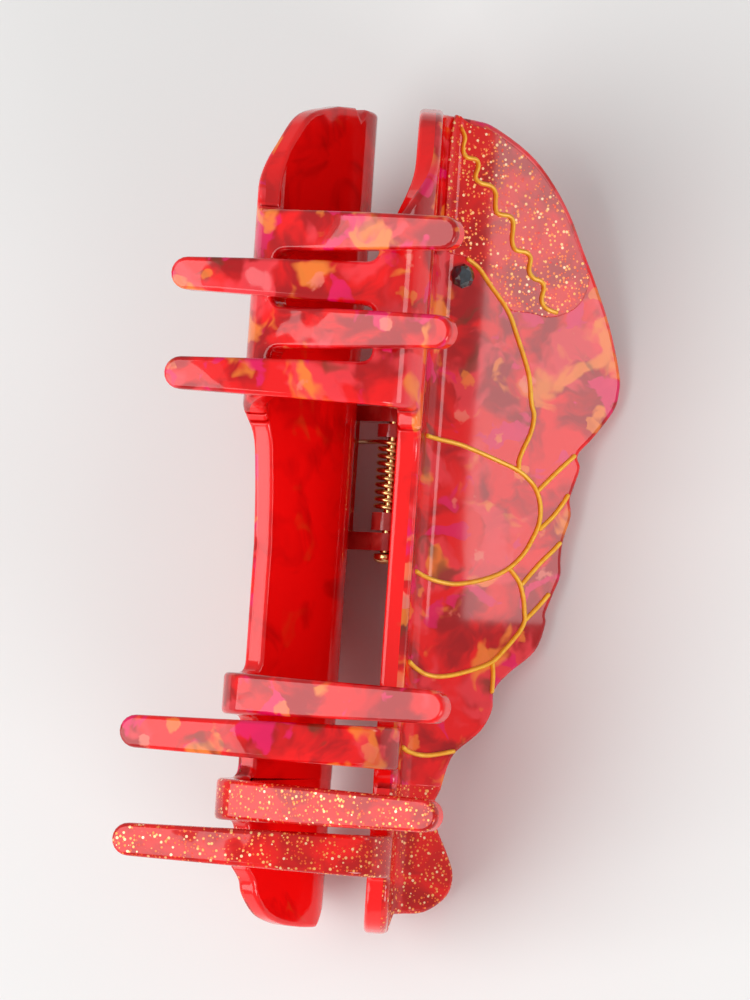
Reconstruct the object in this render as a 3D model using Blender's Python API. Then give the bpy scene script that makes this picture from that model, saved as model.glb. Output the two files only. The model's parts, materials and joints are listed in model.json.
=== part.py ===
"""Lobster-shaped hair claw: two bent acetate halves that turn on one sprung hinge pin.

Each half is drawn flat, as the sheet is cut, and then bent to its S-shaped section. Sizes
are in millimetres and become metres when a mesh is made. The clip's own frame has the hinge
pin along Y through the origin, the lobster's head at +Y, the front half at +X and the teeth
up. The whole clip is then laid down on the lowest edges of its two handles.
"""

import itertools
import math

import bmesh
import bpy
import numpy as np
from mathutils import Vector

METRES = 0.001
FIT_GAP = 0.3

# Section of a bent half, looking along the hinge pin
SHEET = 3.0
WAIST_HALF_GAP = 3.3
WAIST_BEND_RADIUS = 5.5
JAW_LEAN = math.radians(20.0)
JAW_RUN = 13.7
BULGE_RADIUS = 4.5
TOOTH_RISE = math.radians(20.0)
TOOTH_ARCH = math.radians(19.5)
TOOTH_RUN = 29.0
HANDLE_FLARE = math.radians(50.0)
HANDLE_RUN = 30.0
PIN_DROP = 6.5

# Steps that bends, curves and round pieces are made in
WAIST_STEPS = 8
BULGE_STEPS = 8
TOOTH_STEPS = 6
OUTLINE_STEPS = 3
LINE_STEPS = 4
CORNER_STEPS = 4
ROUND_SIDES = 20

# Handle outline, head to tail: reach beyond the waist bend, place along the pin
HANDLE_OUTLINE = (
    (-1.5, 52.4), (4.7, 51.5), (10.4, 48.0), (14.9, 42.6), (18.1, 36.4), (22.3, 27.2),
    (24.0, 21.5), (23.4, 16.4), (19.0, 10.6), (19.4, 8.9), (18.3, 4.7), (18.6, 2.6),
    (17.6, -2.9), (17.7, -5.1), (16.0, -10.1), (16.1, -11.5), (14.9, -15.0), (9.7, -20.4),
    (9.6, -22.9), (8.2, -25.7), (4.1, -30.4), (2.6, -35.4), (5.0, -41.9), (5.8, -44.4),
    (5.1, -47.0), (2.3, -49.1), (-2.8, -49.6),
)

# Free edge of the jaw, between the ends: distance from the waist, place along the pin
HEAD_END = 52.4
TAIL_END = -52.0
NOTCH_FROM_WAIST = 2.4
NOTCH_WIDTH = 1.0
NOTCH_DEPTH = 1.2
FLANGE_EDGE = 23.4
MID_EDGE = 14.4
HEAD_CORNER = (
    (6.5, 52.2), (11.8, 50.6), (15.0, 47.0), (17.6, 43.0), (20.4, 39.0), (FLANGE_EDGE, 33.5),
)
HEAD_EASE = (
    (FLANGE_EDGE, 14.2), (21.9, 13.6), (18.5, 12.4), (16.0, 9.8), (15.0, 4.0), (MID_EDGE, -4.0),
)
TAIL_CORNER = (
    (MID_EDGE, -44.8), (12.9, -46.4), (12.2, -48.2), (9.8, -50.6), (6.5, -51.7), (3.0, -52.0),
)

# Comb teeth
FRONT_TOOTH_PLACES = (28.6, 16.2, -28.5, -41.9)
REAR_TOOTH_PLACES = (34.8, 22.7, -23.0, -36.2)
HEAD_TOOTH_SHORTER_BY = 2.5
TOOTH_ROOT_WIDTH = 5.4
TOOTH_TIP_WIDTH = 4.0
TOOTH_FILLET = 1.6
TOOTH_TIP_ROUND = 1.5

# Glitter tail panel, joined to the shell on a straight seam
TAIL_SEAM = -32.7

# Glitter claw plate on the handle
CLAW_THICKNESS = 0.4
CLAW_OUTLINE = (
    (-1.4, 51.2), (4.2, 50.2), (9.7, 46.9), (13.9, 41.9), (17.1, 35.7), (17.6, 32.2),
    (15.8, 29.8), (13.4, 28.9), (9.4, 29.8), (6.0, 33.2), (2.2, 36.2), (-1.4, 37.2),
)

# Gold lines on the handle: reach beyond the waist bend, place along the pin
LINE_WIDTH = 0.7
LINE_HEIGHT = 0.4
CLAW_LINE = (
    (-0.2, 50.4), (0.1, 48.0), (1.9, 47.2), (2.1, 44.7), (4.2, 44.0), (5.0, 41.2),
    (7.0, 40.4), (7.6, 37.2), (9.6, 36.0), (10.2, 33.4), (12.0, 32.5), (12.2, 30.4),
)
SHELL_LINE = (
    (1.5, 34.6), (5.2, 31.3), (8.2, 27.6), (11.2, 20.6), (12.4, 15.1), (11.3, 11.0), (10.9, 9.2),
)
BAND_LINES = (
    (
        (-3.6, 11.4), (4.4, 10.1), (10.8, 7.9), (13.5, 5.4), (14.1, 2.6), (13.3, -0.7),
        (10.4, -4.6), (4.4, -7.0), (-4.2, -5.9),
    ),
    (
        (11.2, -5.6), (12.6, -8.2), (13.0, -11.2), (10.3, -15.3), (5.9, -18.1), (0.0, -18.9),
        (-4.4, -17.4),
    ),
    ((-4.6, -28.3), (1.0, -29.2), (4.3, -28.5)),
)
LEG_LINES = (
    ((14.3, 6.3), (18.3, 10.4)),
    ((14.9, 1.3), (16.6, 3.3), (17.9, 5.4)),
    ((12.9, -5.9), (14.5, -3.8), (17.0, -0.9)),
    ((13.8, -10.3), (14.9, -9.1), (16.3, -7.4)),
    ((9.2, -18.0), (9.1, -20.2)),
)

# Eye stone
EYE_PLACE = (1.2, 31.9)
EYE_RADIUS = 1.55
EYE_TABLE_RADIUS = 0.9
EYE_GIRDLE = 0.3
EYE_HEIGHT = 1.2
EYE_FACETS = 10

# Hinge: pin, caps, and the tabs that carry it, in places along the pin
PIN_RADIUS = 0.8
CAP_RADIUS = 1.6
CAP_LENGTH = 1.1
TAB_RADIUS = 2.2
REAR_TABS = ((13.1, 15.1), (-3.5, -1.2))
FRONT_TABS = ((11.1, 12.8), (-0.9, 1.4))
BLOCK_THICKNESS = 1.6
BLOCK_WIDTH = 6.0
BLOCK_FROM_BEND = 0.6

# Torsion spring
SPRING_WIRE = 0.6
SPRING_MEAN_RADIUS = 1.75
SPRING_TURNS = 7
POINTS_PER_CURL = 10
SPRING_LEG_REACH = 6.0

# Place along the pin that the clip balances about when it lies down
BALANCE_PLACE = 0.0

# Finishes: colour, roughness, metallic
FINISHES = {
    "marbled_acetate": ((0.62, 0.02, 0.03), 0.12, 0.0),
    "glitter_acetate": ((0.72, 0.03, 0.02), 0.2, 0.0),
    "glitter_inlay": ((0.75, 0.06, 0.03), 0.25, 0.0),
    "gold_line": ((0.85, 0.42, 0.06), 0.3, 1.0),
    "black_stone": ((0.01, 0.01, 0.012), 0.08, 0.0),
    "hinge_acetate": ((0.55, 0.02, 0.03), 0.2, 0.0),
    "gold_metal": ((0.83, 0.6, 0.3), 0.25, 1.0),
}


def arc_walk(start, length, turn):
    """Place and heading after a run of the section; a heading of zero points up."""
    x, z, heading = start
    if abs(turn) < 1e-9:
        return x + length * math.sin(heading), z + length * math.cos(heading), heading
    radius = length / turn
    end = heading + turn
    x += radius * (math.cos(heading) - math.cos(end))
    z += radius * (math.sin(end) - math.sin(heading))
    return x, z, end


def section_knots():
    """Knots (s, x, z, heading) of the sheet's middle, from the handle's edge to a tooth's tip."""
    waist = (WAIST_HALF_GAP + SHEET / 2, PIN_DROP, 0.0)
    jaw_arc = WAIST_BEND_RADIUS * JAW_LEAN
    bulge_turn = JAW_LEAN + math.pi / 2 - TOOTH_RISE
    upper = (
        (jaw_arc, JAW_LEAN, WAIST_STEPS // 2),
        (JAW_RUN, 0.0, 1),
        (BULGE_RADIUS * bulge_turn, -bulge_turn, BULGE_STEPS),
        (TOOTH_RUN, -TOOTH_ARCH, TOOTH_STEPS),
    )
    lower = ((-WAIST_BEND_RADIUS * HANDLE_FLARE, -HANDLE_FLARE, WAIST_STEPS), (-HANDLE_RUN, 0.0, 1))
    knots = [(0.0, *waist)]
    for length, turn, steps in upper:
        for _ in range(steps):
            place = arc_walk(knots[-1][1:], length / steps, turn / steps)
            knots.append((knots[-1][0] + length / steps, *place))
    for length, turn, steps in lower:
        for _ in range(steps):
            place = arc_walk(knots[0][1:], length / steps, turn / steps)
            knots.insert(0, (knots[0][0] + length / steps, *place))
    return knots


KNOTS = section_knots()
BEND_END = -WAIST_BEND_RADIUS * HANDLE_FLARE


def knot_point(knot, out):
    """Section point on a knot, at a distance out from the sheet's middle."""
    _, x, z, heading = knot
    return np.array((x + out * math.cos(heading), z - out * math.sin(heading)))


def section_point(s, out):
    """Section point (x, z) at s along the sheet and a distance out from its middle."""
    after = next((i for i in range(1, len(KNOTS) - 1) if s <= KNOTS[i][0]), len(KNOTS) - 1)
    first, second = KNOTS[after - 1], KNOTS[after]
    share = (s - first[0]) / (second[0] - first[0])
    return (1 - share) * knot_point(first, out) + share * knot_point(second, out)


def on_handle(points):
    """Flat places (s, y) of points given by their reach beyond the waist bend."""
    return [(BEND_END - reach, y) for reach, y in points]


def smooth(points, steps, closed=False):
    """Points on a curve through all the given points, with some steps between each two."""
    points = [np.array(p, dtype=float) for p in points]
    count = len(points)
    spans = count if closed else count - 1
    curve = []
    for i in range(spans):
        if closed:
            a, b, c, d = (points[(i + k) % count] for k in (-1, 0, 1, 2))
        else:
            b, c = points[i], points[i + 1]
            a = points[i - 1] if i else 2 * b - c
            d = points[i + 2] if i + 2 < count else 2 * c - b
        for step in range(steps):
            t = step / steps
            curve.append(
                0.5 * (2 * b + (c - a) * t + (2 * a - 5 * b + 4 * c - d) * t ** 2
                       + (3 * b - a - 3 * c + d) * t ** 3)
            )
    if not closed:
        curve.append(points[-1])
    return [tuple(p) for p in curve]


def round_corner(before, corner, after, radius, steps):
    """Points of an arc-like rounding at a corner, for a cut of the given size."""
    before, corner, after = (np.array(p, dtype=float) for p in (before, corner, after))
    toward = [(p - corner) / np.linalg.norm(p - corner) for p in (before, after)]
    start, end = corner + toward[0] * radius, corner + toward[1] * radius
    points = []
    for step in range(steps + 1):
        t = step / steps
        points.append(tuple((1 - t) ** 2 * start + 2 * t * (1 - t) * corner + t ** 2 * end))
    return points


def tooth_outline(place, head_root, tail_root):
    """One tooth as flat points, from its root on the head side over its tip to the tail side."""
    tip = KNOTS[-1][0] - (HEAD_TOOTH_SHORTER_BY if place > 0 else 0.0)
    half_root, half_tip = TOOTH_ROOT_WIDTH / 2, TOOTH_TIP_WIDTH / 2
    reach = half_root + 2 * TOOTH_FILLET
    corners = [
        (head_root, place + reach), (head_root, place + half_root), (tip, place + half_tip),
        (tip, place - half_tip), (tail_root, place - half_root), (tail_root, place - reach),
    ]
    rounds = (TOOTH_FILLET, TOOTH_TIP_ROUND, TOOTH_TIP_ROUND, TOOTH_FILLET)
    points = []
    for i, size in enumerate(rounds):
        points += round_corner(*corners[i:i + 3], size, CORNER_STEPS)
    return points


def jaw_outline(places):
    """Free edge of the jaw and its teeth as flat points, from the head end to the tail end."""
    head = [p for p in places if p > 0]
    tail = [p for p in places if p < 0]
    clear = TOOTH_ROOT_WIDTH / 2 + TOOTH_FILLET
    head_end = [p for p in smooth(HEAD_CORNER, OUTLINE_STEPS) if p[1] > head[0] + clear]
    ease = [p for p in smooth(HEAD_EASE, OUTLINE_STEPS) if p[1] < head[-1] - clear]
    tail_end = [p for p in smooth(TAIL_CORNER, OUTLINE_STEPS) if p[1] < tail[-1] - clear]
    head_roots = (head_end[-1][0], FLANGE_EDGE, ease[0][0])
    tail_roots = (MID_EDGE, MID_EDGE, tail_end[0][0])
    points = [(NOTCH_FROM_WAIST + NOTCH_WIDTH, HEAD_END)] + head_end
    for place, head_root, tail_root in zip(head, head_roots, head_roots[1:]):
        points += tooth_outline(place, head_root, tail_root)
    points += ease
    for place, head_root, tail_root in zip(tail, tail_roots, tail_roots[1:]):
        points += tooth_outline(place, head_root, tail_root)
    return points + tail_end


def half_outline(places):
    """Whole flat outline of one half, down the jaw's edge and back up the handle's."""
    handle = smooth(on_handle(HANDLE_OUTLINE), OUTLINE_STEPS)
    notch = [
        (NOTCH_FROM_WAIST - NOTCH_WIDTH, HEAD_END),
        (NOTCH_FROM_WAIST, HEAD_END - NOTCH_DEPTH),
    ]
    return jaw_outline(places) + [(0.0, TAIL_END)] + handle[::-1] + notch


def ribbon(points, width):
    """Closed outline of a line of constant width along the given points."""
    points = np.array(points)
    along = np.gradient(points, axis=0)
    along /= np.linalg.norm(along, axis=1)[:, None]
    across = np.stack((-along[:, 1], along[:, 0]), axis=1) * width / 2
    return [tuple(p) for p in np.concatenate((points + across, (points - across)[::-1]))]


def flat_sheet(outline, cut=None, keep_head=True):
    """Flat mesh of an outline in (s, y), divided at the knots of the section."""
    sheet = bmesh.new()
    sheet.faces.new([sheet.verts.new((s, y, 0.0)) for s, y in outline])
    if cut is not None:
        everything = sheet.verts[:] + sheet.edges[:] + sheet.faces[:]
        bmesh.ops.bisect_plane(
            sheet, geom=everything, plane_co=(0, cut, 0), plane_no=(0, 1, 0), dist=1e-5,
            clear_inner=keep_head, clear_outer=not keep_head,
        )
    for knot in KNOTS[1:-1]:
        everything = sheet.verts[:] + sheet.edges[:] + sheet.faces[:]
        bmesh.ops.bisect_plane(
            sheet, geom=everything, plane_co=(knot[0], 0, 0), plane_no=(1, 0, 0), dist=1e-5,
        )
    return sheet


def add_bent_plate(solid, sheet, low, high, side):
    """Bend a flat mesh round the section as a plate between two distances from the middle."""
    layers = []
    for out in (low, high):
        layer = {}
        for vert in sheet.verts:
            x, z = section_point(vert.co.x, out)
            layer[vert] = solid.verts.new(Vector((side * x, vert.co.y, z)) * METRES)
        layers.append(layer)
    inner, outer = layers
    for face in sheet.faces:
        solid.faces.new([outer[v] for v in face.verts])
        solid.faces.new([inner[v] for v in reversed(face.verts)])
    for edge in sheet.edges:
        if len(edge.link_faces) == 1:
            a, b = edge.verts
            solid.faces.new((inner[a], inner[b], outer[b], outer[a]))
    sheet.free()


def finish(name):
    """The named finish as a material, made once."""
    material = bpy.data.materials.get(name)
    if material is None:
        colour, roughness, metallic = FINISHES[name]
        material = bpy.data.materials.new(name)
        material.use_nodes = True
        shader = material.node_tree.nodes["Principled BSDF"]
        shader.inputs["Base Color"].default_value = (*colour, 1.0)
        shader.inputs["Roughness"].default_value = roughness
        shader.inputs["Metallic"].default_value = metallic
    return material


def add_object(name, data, finish_name, parent):
    """Link mesh or curve data as a named object under its half."""
    data.materials.append(finish(finish_name))
    made = bpy.data.objects.new(name, data)
    made.parent = parent
    bpy.context.collection.objects.link(made)
    return made


def add_solid(name, solid, finish_name, parent):
    """Close a bmesh as a named object with its faces pointing out."""
    bmesh.ops.recalc_face_normals(solid, faces=solid.faces)
    mesh = bpy.data.meshes.new(name)
    solid.to_mesh(mesh)
    solid.free()
    return add_object(name, mesh, finish_name, parent)


def add_plate(name, outline, low, height, finish_name, parent, side):
    """One plate of constant height that lies on the bent half."""
    solid = bmesh.new()
    add_bent_plate(solid, flat_sheet(outline), low, low + height, side)
    return add_solid(name, solid, finish_name, parent)


def add_line(name, points, low, parent, side):
    """One gold line drawn through points on the handle."""
    outline = ribbon(smooth(on_handle(points), LINE_STEPS), LINE_WIDTH)
    return add_plate(name, outline, low, LINE_HEIGHT, "gold_line", parent, side)


def add_shell(half, places, parent, side):
    """The bent sheet of one half, in its marbled stretch and its glitter tail."""
    outline = half_outline(places)
    for piece, keep_head, finish_name in (
        ("shell", True, "marbled_acetate"), ("tail_panel", False, "glitter_acetate"),
    ):
        cut = TAIL_SEAM + (FIT_GAP / 2 if keep_head else -FIT_GAP / 2)
        solid = bmesh.new()
        sheet = flat_sheet(outline, cut, keep_head)
        add_bent_plate(solid, sheet, -SHEET / 2, SHEET / 2, side)
        add_solid(f"{half}_{piece}", solid, finish_name, parent)


def handle_frame(side, out):
    """Origin on the end of the waist bend at a distance out, with the handle's run and normal."""
    x, z = section_point(BEND_END, out)
    run = Vector((side * math.sin(HANDLE_FLARE), 0, -math.cos(HANDLE_FLARE)))
    normal = Vector((side * math.cos(HANDLE_FLARE), 0, math.sin(HANDLE_FLARE)))
    return Vector((side * x, 0, z)), run, normal


def add_eye(half, parent, side):
    """Faceted flat-back stone on the handle's outer face."""
    origin, run, normal = handle_frame(side, SHEET / 2 + FIT_GAP)
    along = Vector((0, 1, 0))
    reach, place = EYE_PLACE
    centre = origin + run * reach + along * place
    solid = bmesh.new()
    rings = []
    for radius, height in ((EYE_RADIUS, 0.0), (EYE_RADIUS, EYE_GIRDLE),
                           (EYE_TABLE_RADIUS, EYE_HEIGHT)):
        ring = []
        for facet in range(EYE_FACETS):
            angle = 2 * math.pi * facet / EYE_FACETS
            spot = centre + normal * height
            spot += (run * math.cos(angle) + along * math.sin(angle)) * radius
            ring.append(solid.verts.new(spot * METRES))
        rings.append(ring)
    for lower, upper in zip(rings, rings[1:]):
        for i in range(EYE_FACETS):
            j = (i + 1) % EYE_FACETS
            solid.faces.new((lower[i], lower[j], upper[j], upper[i]))
    solid.faces.new(rings[-1])
    solid.faces.new(rings[0])
    add_solid(f"{half}_eye_stone", solid, "black_stone", parent)


def prism(profile, start, end):
    """Closed mesh of a section outline (x, z) drawn out along the pin."""
    solid = bmesh.new()
    ends = [[solid.verts.new(Vector((x, y, z)) * METRES) for x, z in profile] for y in (start, end)]
    for i in range(len(profile)):
        j = (i + 1) % len(profile)
        solid.faces.new((ends[0][i], ends[0][j], ends[1][j], ends[1][i]))
    solid.faces.new(ends[0])
    solid.faces.new(ends[1])
    return solid


def circle(radius):
    """Section outline of a round piece on the pin's axis."""
    angles = [2 * math.pi * i / ROUND_SIDES for i in range(ROUND_SIDES)]
    return [(radius * math.cos(a), radius * math.sin(a)) for a in angles]


def add_cutter(name, solid, parent):
    """Helper solid for a Boolean, left out of the part."""
    helper = add_solid(name, solid, "hinge_acetate", parent)
    helper.hide_render = True
    helper.display_type = "WIRE"
    return helper


def boolean(target, helper, operation):
    """Join a helper to a solid, or cut it away."""
    modifier = target.modifiers.new(operation.lower(), "BOOLEAN")
    modifier.operation = operation
    modifier.object = helper
    modifier.solver = "EXACT"


def add_hinge_block(half, tabs, parent, side):
    """Block on the handle's inner face, with its two bored tabs round the pin."""
    origin, run, normal = handle_frame(side, -SHEET / 2 - FIT_GAP)
    low = origin + run * BLOCK_FROM_BEND
    far = low + run * BLOCK_WIDTH
    deep = -normal * BLOCK_THICKNESS
    base = [(p.x, p.z) for p in (low, far, far + deep, low + deep)]
    start = min(min(tab) for tab in tabs)
    end = max(max(tab) for tab in tabs)
    block = add_solid(f"{half}_hinge_block", prism(base, start, end), "hinge_acetate", parent)
    inside = low + deep * 0.5
    tangent = math.atan2(low.z, low.x)
    for count, tab in enumerate(tabs, 1):
        arm_top = (TAB_RADIUS * math.cos(tangent + side * math.pi / 2),
                   TAB_RADIUS * math.sin(tangent + side * math.pi / 2))
        outer = far + deep * 0.5
        away = math.atan2(outer.z, outer.x) - side * math.pi / 2
        arm_low = (TAB_RADIUS * math.cos(away), TAB_RADIUS * math.sin(away))
        hull = [arm_top, (inside.x, inside.z), (outer.x, outer.z), arm_low]
        arm = add_cutter(f"{half}_tab_arm_{count}", prism(hull, *tab), parent)
        ring = add_cutter(f"{half}_tab_ring_{count}", prism(circle(TAB_RADIUS), *tab), parent)
        boolean(block, arm, "UNION")
        boolean(block, ring, "UNION")
    bore = prism(circle(PIN_RADIUS + FIT_GAP), start - CAP_LENGTH, end + CAP_LENGTH)
    boolean(block, add_cutter(f"{half}_pin_bore", bore, parent), "DIFFERENCE")


def add_pin(parent):
    """Hinge pin with a cap at each end."""
    low = min(min(tab) for tab in REAR_TABS + FRONT_TABS) - FIT_GAP
    high = max(max(tab) for tab in REAR_TABS + FRONT_TABS) + FIT_GAP
    add_solid("hinge_pin", prism(circle(PIN_RADIUS), low, high), "gold_metal", parent)
    for name, seat, way in (("pin_cap_head", high, 1), ("pin_cap_tail", low, -1)):
        start = seat + way * FIT_GAP
        cap = prism(circle(CAP_RADIUS), start, start + way * CAP_LENGTH)
        add_solid(name, cap, "gold_metal", parent)


def spring_leg(side):
    """End of a spring leg on the hinge block's inner face, and where it leaves the coil."""
    block_face = -SHEET / 2 - FIT_GAP - BLOCK_THICKNESS
    origin, run, normal = handle_frame(side, block_face - FIT_GAP - SPRING_WIRE / 2)
    foot = origin + run * SPRING_LEG_REACH
    distance = math.hypot(foot.x, foot.z)
    angle = math.atan2(foot.z, foot.x) + side * math.acos(SPRING_MEAN_RADIUS / distance)
    return foot, angle


def spring_path():
    """Points along the spring's wire, from the front leg round the coil to the rear leg."""
    start = max(FRONT_TABS[1]) + FIT_GAP + SPRING_WIRE / 2
    end = min(FRONT_TABS[0]) - FIT_GAP - SPRING_WIRE / 2
    front_foot, leaves_front = spring_leg(1)
    rear_foot, leaves_rear = spring_leg(-1)
    turn = (leaves_rear - leaves_front) % (2 * math.pi) + 2 * math.pi * SPRING_TURNS
    steps = round(turn / (2 * math.pi) * POINTS_PER_CURL)
    points = [(front_foot.x, start, front_foot.z)]
    for step in range(steps + 1):
        angle = leaves_front + turn * step / steps
        y = start + (end - start) * step / steps
        x, z = SPRING_MEAN_RADIUS * math.cos(angle), SPRING_MEAN_RADIUS * math.sin(angle)
        points.append((x, y, z))
    points.append((rear_foot.x, end, rear_foot.z))
    return points


def least_gap(points):
    """Least clear distance between stretches of wire at least half a curl apart."""
    places = np.array(points)
    apart = np.linalg.norm(places[:, None] - places[None, :], axis=2)
    index = np.arange(len(points))
    far = np.abs(index[:, None] - index[None, :]) > POINTS_PER_CURL // 2
    return apart[far].min() - SPRING_WIRE


def add_spring(parent):
    """Torsion spring as one unbroken tube."""
    points = spring_path()
    wire = bpy.data.curves.new("torsion_spring", "CURVE")
    wire.dimensions = "3D"
    wire.bevel_depth = SPRING_WIRE / 2 * METRES
    wire.bevel_resolution = 1
    wire.use_fill_caps = True
    line = wire.splines.new("POLY")
    line.points.add(len(points) - 1)
    for spot, place in zip(line.points, points):
        spot.co = (*(Vector(place) * METRES), 1.0)
    add_object("torsion_spring", wire, "gold_metal", parent)
    print(f"Least gap of the torsion spring to itself: {least_gap(points):.2f} mm")


def floor_height(head, tail):
    """Height at the balance place of a floor that touches two spots (y, z)."""
    share = (BALANCE_PLACE - tail[0]) / (head[0] - tail[0])
    return tail[1] + share * (head[1] - tail[1])


def lay_down(rest):
    """Turn and shift the clip so that it lies centred on the lowest edges of its handles."""
    spots = []
    for s, y in half_outline(FRONT_TOOTH_PLACES):
        for out in (-SHEET / 2, SHEET / 2):
            spots.append((y, section_point(s, out)[1]))
    heads = [spot for spot in spots if spot[0] > BALANCE_PLACE]
    tails = [spot for spot in spots if spot[0] < BALANCE_PLACE]
    pairs = itertools.product(heads, tails)
    head, tail = min(pairs, key=lambda pair: floor_height(*pair))
    tilt = math.atan2(tail[1] - head[1], head[0] - tail[0])
    lowest = head[0] * math.sin(tilt) + head[1] * math.cos(tilt)
    places = [y * math.cos(tilt) - z * math.sin(tilt) for y, z in spots]
    rest.rotation_euler.x = tilt
    rest.location = Vector((0, -(min(places) + max(places)) / 2, -lowest)) * METRES
    print(f"Laid down by {math.degrees(tilt):.3f} degrees, shifted {rest.location * 1000}")


def add_empty(name, parent=None):
    """Empty on the hinge axis that carries a half."""
    empty = bpy.data.objects.new(name, None)
    empty.parent = parent
    bpy.context.collection.objects.link(empty)
    return empty


def add_half(half, places, tabs, parent, side):
    """All the pieces of one half."""
    face = SHEET / 2 + FIT_GAP
    claw_face = face + CLAW_THICKNESS + FIT_GAP
    claw = smooth(on_handle(CLAW_OUTLINE), OUTLINE_STEPS, closed=True)
    add_shell(half, places, parent, side)
    add_plate(f"{half}_claw_plate", claw, face, CLAW_THICKNESS, "glitter_inlay", parent, side)
    add_line(f"{half}_claw_line", CLAW_LINE, claw_face, parent, side)
    add_line(f"{half}_shell_line", SHELL_LINE, face, parent, side)
    for count, points in enumerate(BAND_LINES, 1):
        add_line(f"{half}_band_line_{count}", points, face, parent, side)
    for count, points in enumerate(LEG_LINES, 1):
        add_line(f"{half}_leg_line_{count}", points, face, parent, side)
    add_eye(half, parent, side)
    add_hinge_block(half, tabs, parent, side)


def main():
    """Build the clip, laid down on its handles."""
    for old in list(bpy.data.objects):
        bpy.data.objects.remove(old)
    rest = add_empty("rest")
    lay_down(rest)
    front = add_empty("front_half", rest)
    rear = add_empty("rear_half", rest)
    add_half("front", FRONT_TOOTH_PLACES, FRONT_TABS, front, 1)
    add_half("rear", REAR_TOOTH_PLACES, REAR_TABS, rear, -1)
    add_pin(front)
    add_spring(front)


main()
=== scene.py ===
"""Looks of a lobster-shaped hair claw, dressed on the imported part.

Sizes are in millimetres in the clip's own frame, with the hinge pin along Y through the origin,
the lobster's head at +Y, the front half at +X and the teeth up. They become metres in the row
frame when a mesh is made.
"""

import json
import logging
import math
from dataclasses import dataclass
from enum import Enum
from typing import Any, Sequence

import bmesh
import bpy
import numpy as np
from mathutils import Matrix, Vector


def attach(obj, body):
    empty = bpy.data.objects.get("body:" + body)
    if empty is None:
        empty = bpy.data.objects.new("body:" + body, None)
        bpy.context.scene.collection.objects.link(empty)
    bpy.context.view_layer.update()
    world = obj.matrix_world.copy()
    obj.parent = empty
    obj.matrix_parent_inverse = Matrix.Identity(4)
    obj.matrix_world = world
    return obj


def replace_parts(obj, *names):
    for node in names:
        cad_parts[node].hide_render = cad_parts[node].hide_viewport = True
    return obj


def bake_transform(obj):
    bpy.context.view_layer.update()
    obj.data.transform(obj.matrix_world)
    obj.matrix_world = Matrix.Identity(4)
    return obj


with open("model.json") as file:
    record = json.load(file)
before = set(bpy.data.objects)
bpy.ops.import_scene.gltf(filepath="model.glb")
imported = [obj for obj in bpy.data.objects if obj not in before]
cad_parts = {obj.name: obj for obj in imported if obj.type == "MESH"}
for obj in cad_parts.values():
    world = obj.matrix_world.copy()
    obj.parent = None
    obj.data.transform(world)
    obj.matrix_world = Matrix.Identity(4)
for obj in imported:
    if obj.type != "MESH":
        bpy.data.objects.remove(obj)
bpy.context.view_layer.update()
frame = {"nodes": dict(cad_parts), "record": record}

LOG = logging.getLogger("lobster_hair_claw")
METRES = 0.001

# Guards and tolerances, and the weight of face sizes in even shading
TINY = 1e-9
WELD = 1e-5
LEAST_LEAN = 0.6
FACE_WEIGHT = 100

# Middles of the teeth along the pin
FRONT_TOOTH_PLACES = (28.6, 16.2, -28.5, -41.9)
REAR_TOOTH_PLACES = (34.8, 22.7, -23.0, -36.2)

# A flat place or a pair of values, a row of places, a colour, a noise's size, detail and warp
Flat = tuple[float, float]
Points = tuple[Flat, ...]
Colour = tuple[float, float, float]
NoiseShape = tuple[float, ...]
Solid = bmesh.types.BMesh


class Half(Enum):
    """The two mirrored halves of the clip."""

    FRONT = "front"
    REAR = "rear"

    @property
    def side(self) -> int:
        """Way that the half faces along X."""
        return 1 if self is Half.FRONT else -1

    @property
    def body(self) -> str:
        """Name of the half's rigid body."""
        return f"{self.value}_half"


class Wire:
    """A shader socket that takes part in Python expressions."""

    def __init__(self, web: "NodeWeb", node: bpy.types.Node, output: int | str = 0) -> None:
        """Hold one output of a node."""
        self.web = web
        self.node = node
        self.socket = node.outputs[output]

    def __getitem__(self, output: int | str) -> "Wire":
        """Another output of the same node."""
        return Wire(self.web, self.node, output)

    def maths(self, operation: str, *values: Any) -> "Wire":
        """Result of one Math node, from Blender's name of the operation and the inputs in order."""
        return self.web.add("ShaderNodeMath", {"operation": operation}, dict(enumerate(values)))

    def __radd__(self, other: Any) -> "Wire":
        """Sum with a number on the left."""
        return self.maths("ADD", other, self)

    def __rsub__(self, other: Any) -> "Wire":
        """Difference from a number on the left."""
        return self.maths("SUBTRACT", other, self)

    def __mul__(self, other: Any) -> "Wire":
        """Product of two values."""
        return self.maths("MULTIPLY", self, other)

    def __gt__(self, other: Any) -> "Wire":
        """One where the value is larger, zero elsewhere."""
        return self.maths("GREATER_THAN", self, other)

    def __lt__(self, other: Any) -> "Wire":
        """One where the value is smaller, zero elsewhere."""
        return self.maths("LESS_THAN", self, other)

    def rise(self, start: float, end: float) -> "Wire":
        """Value that climbs smoothly from zero at start to one at end."""
        sockets = {"Value": self, "From Min": start, "From Max": end}
        return self.web.add("ShaderNodeMapRange", {"interpolation_type": "SMOOTHSTEP"}, sockets)


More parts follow.
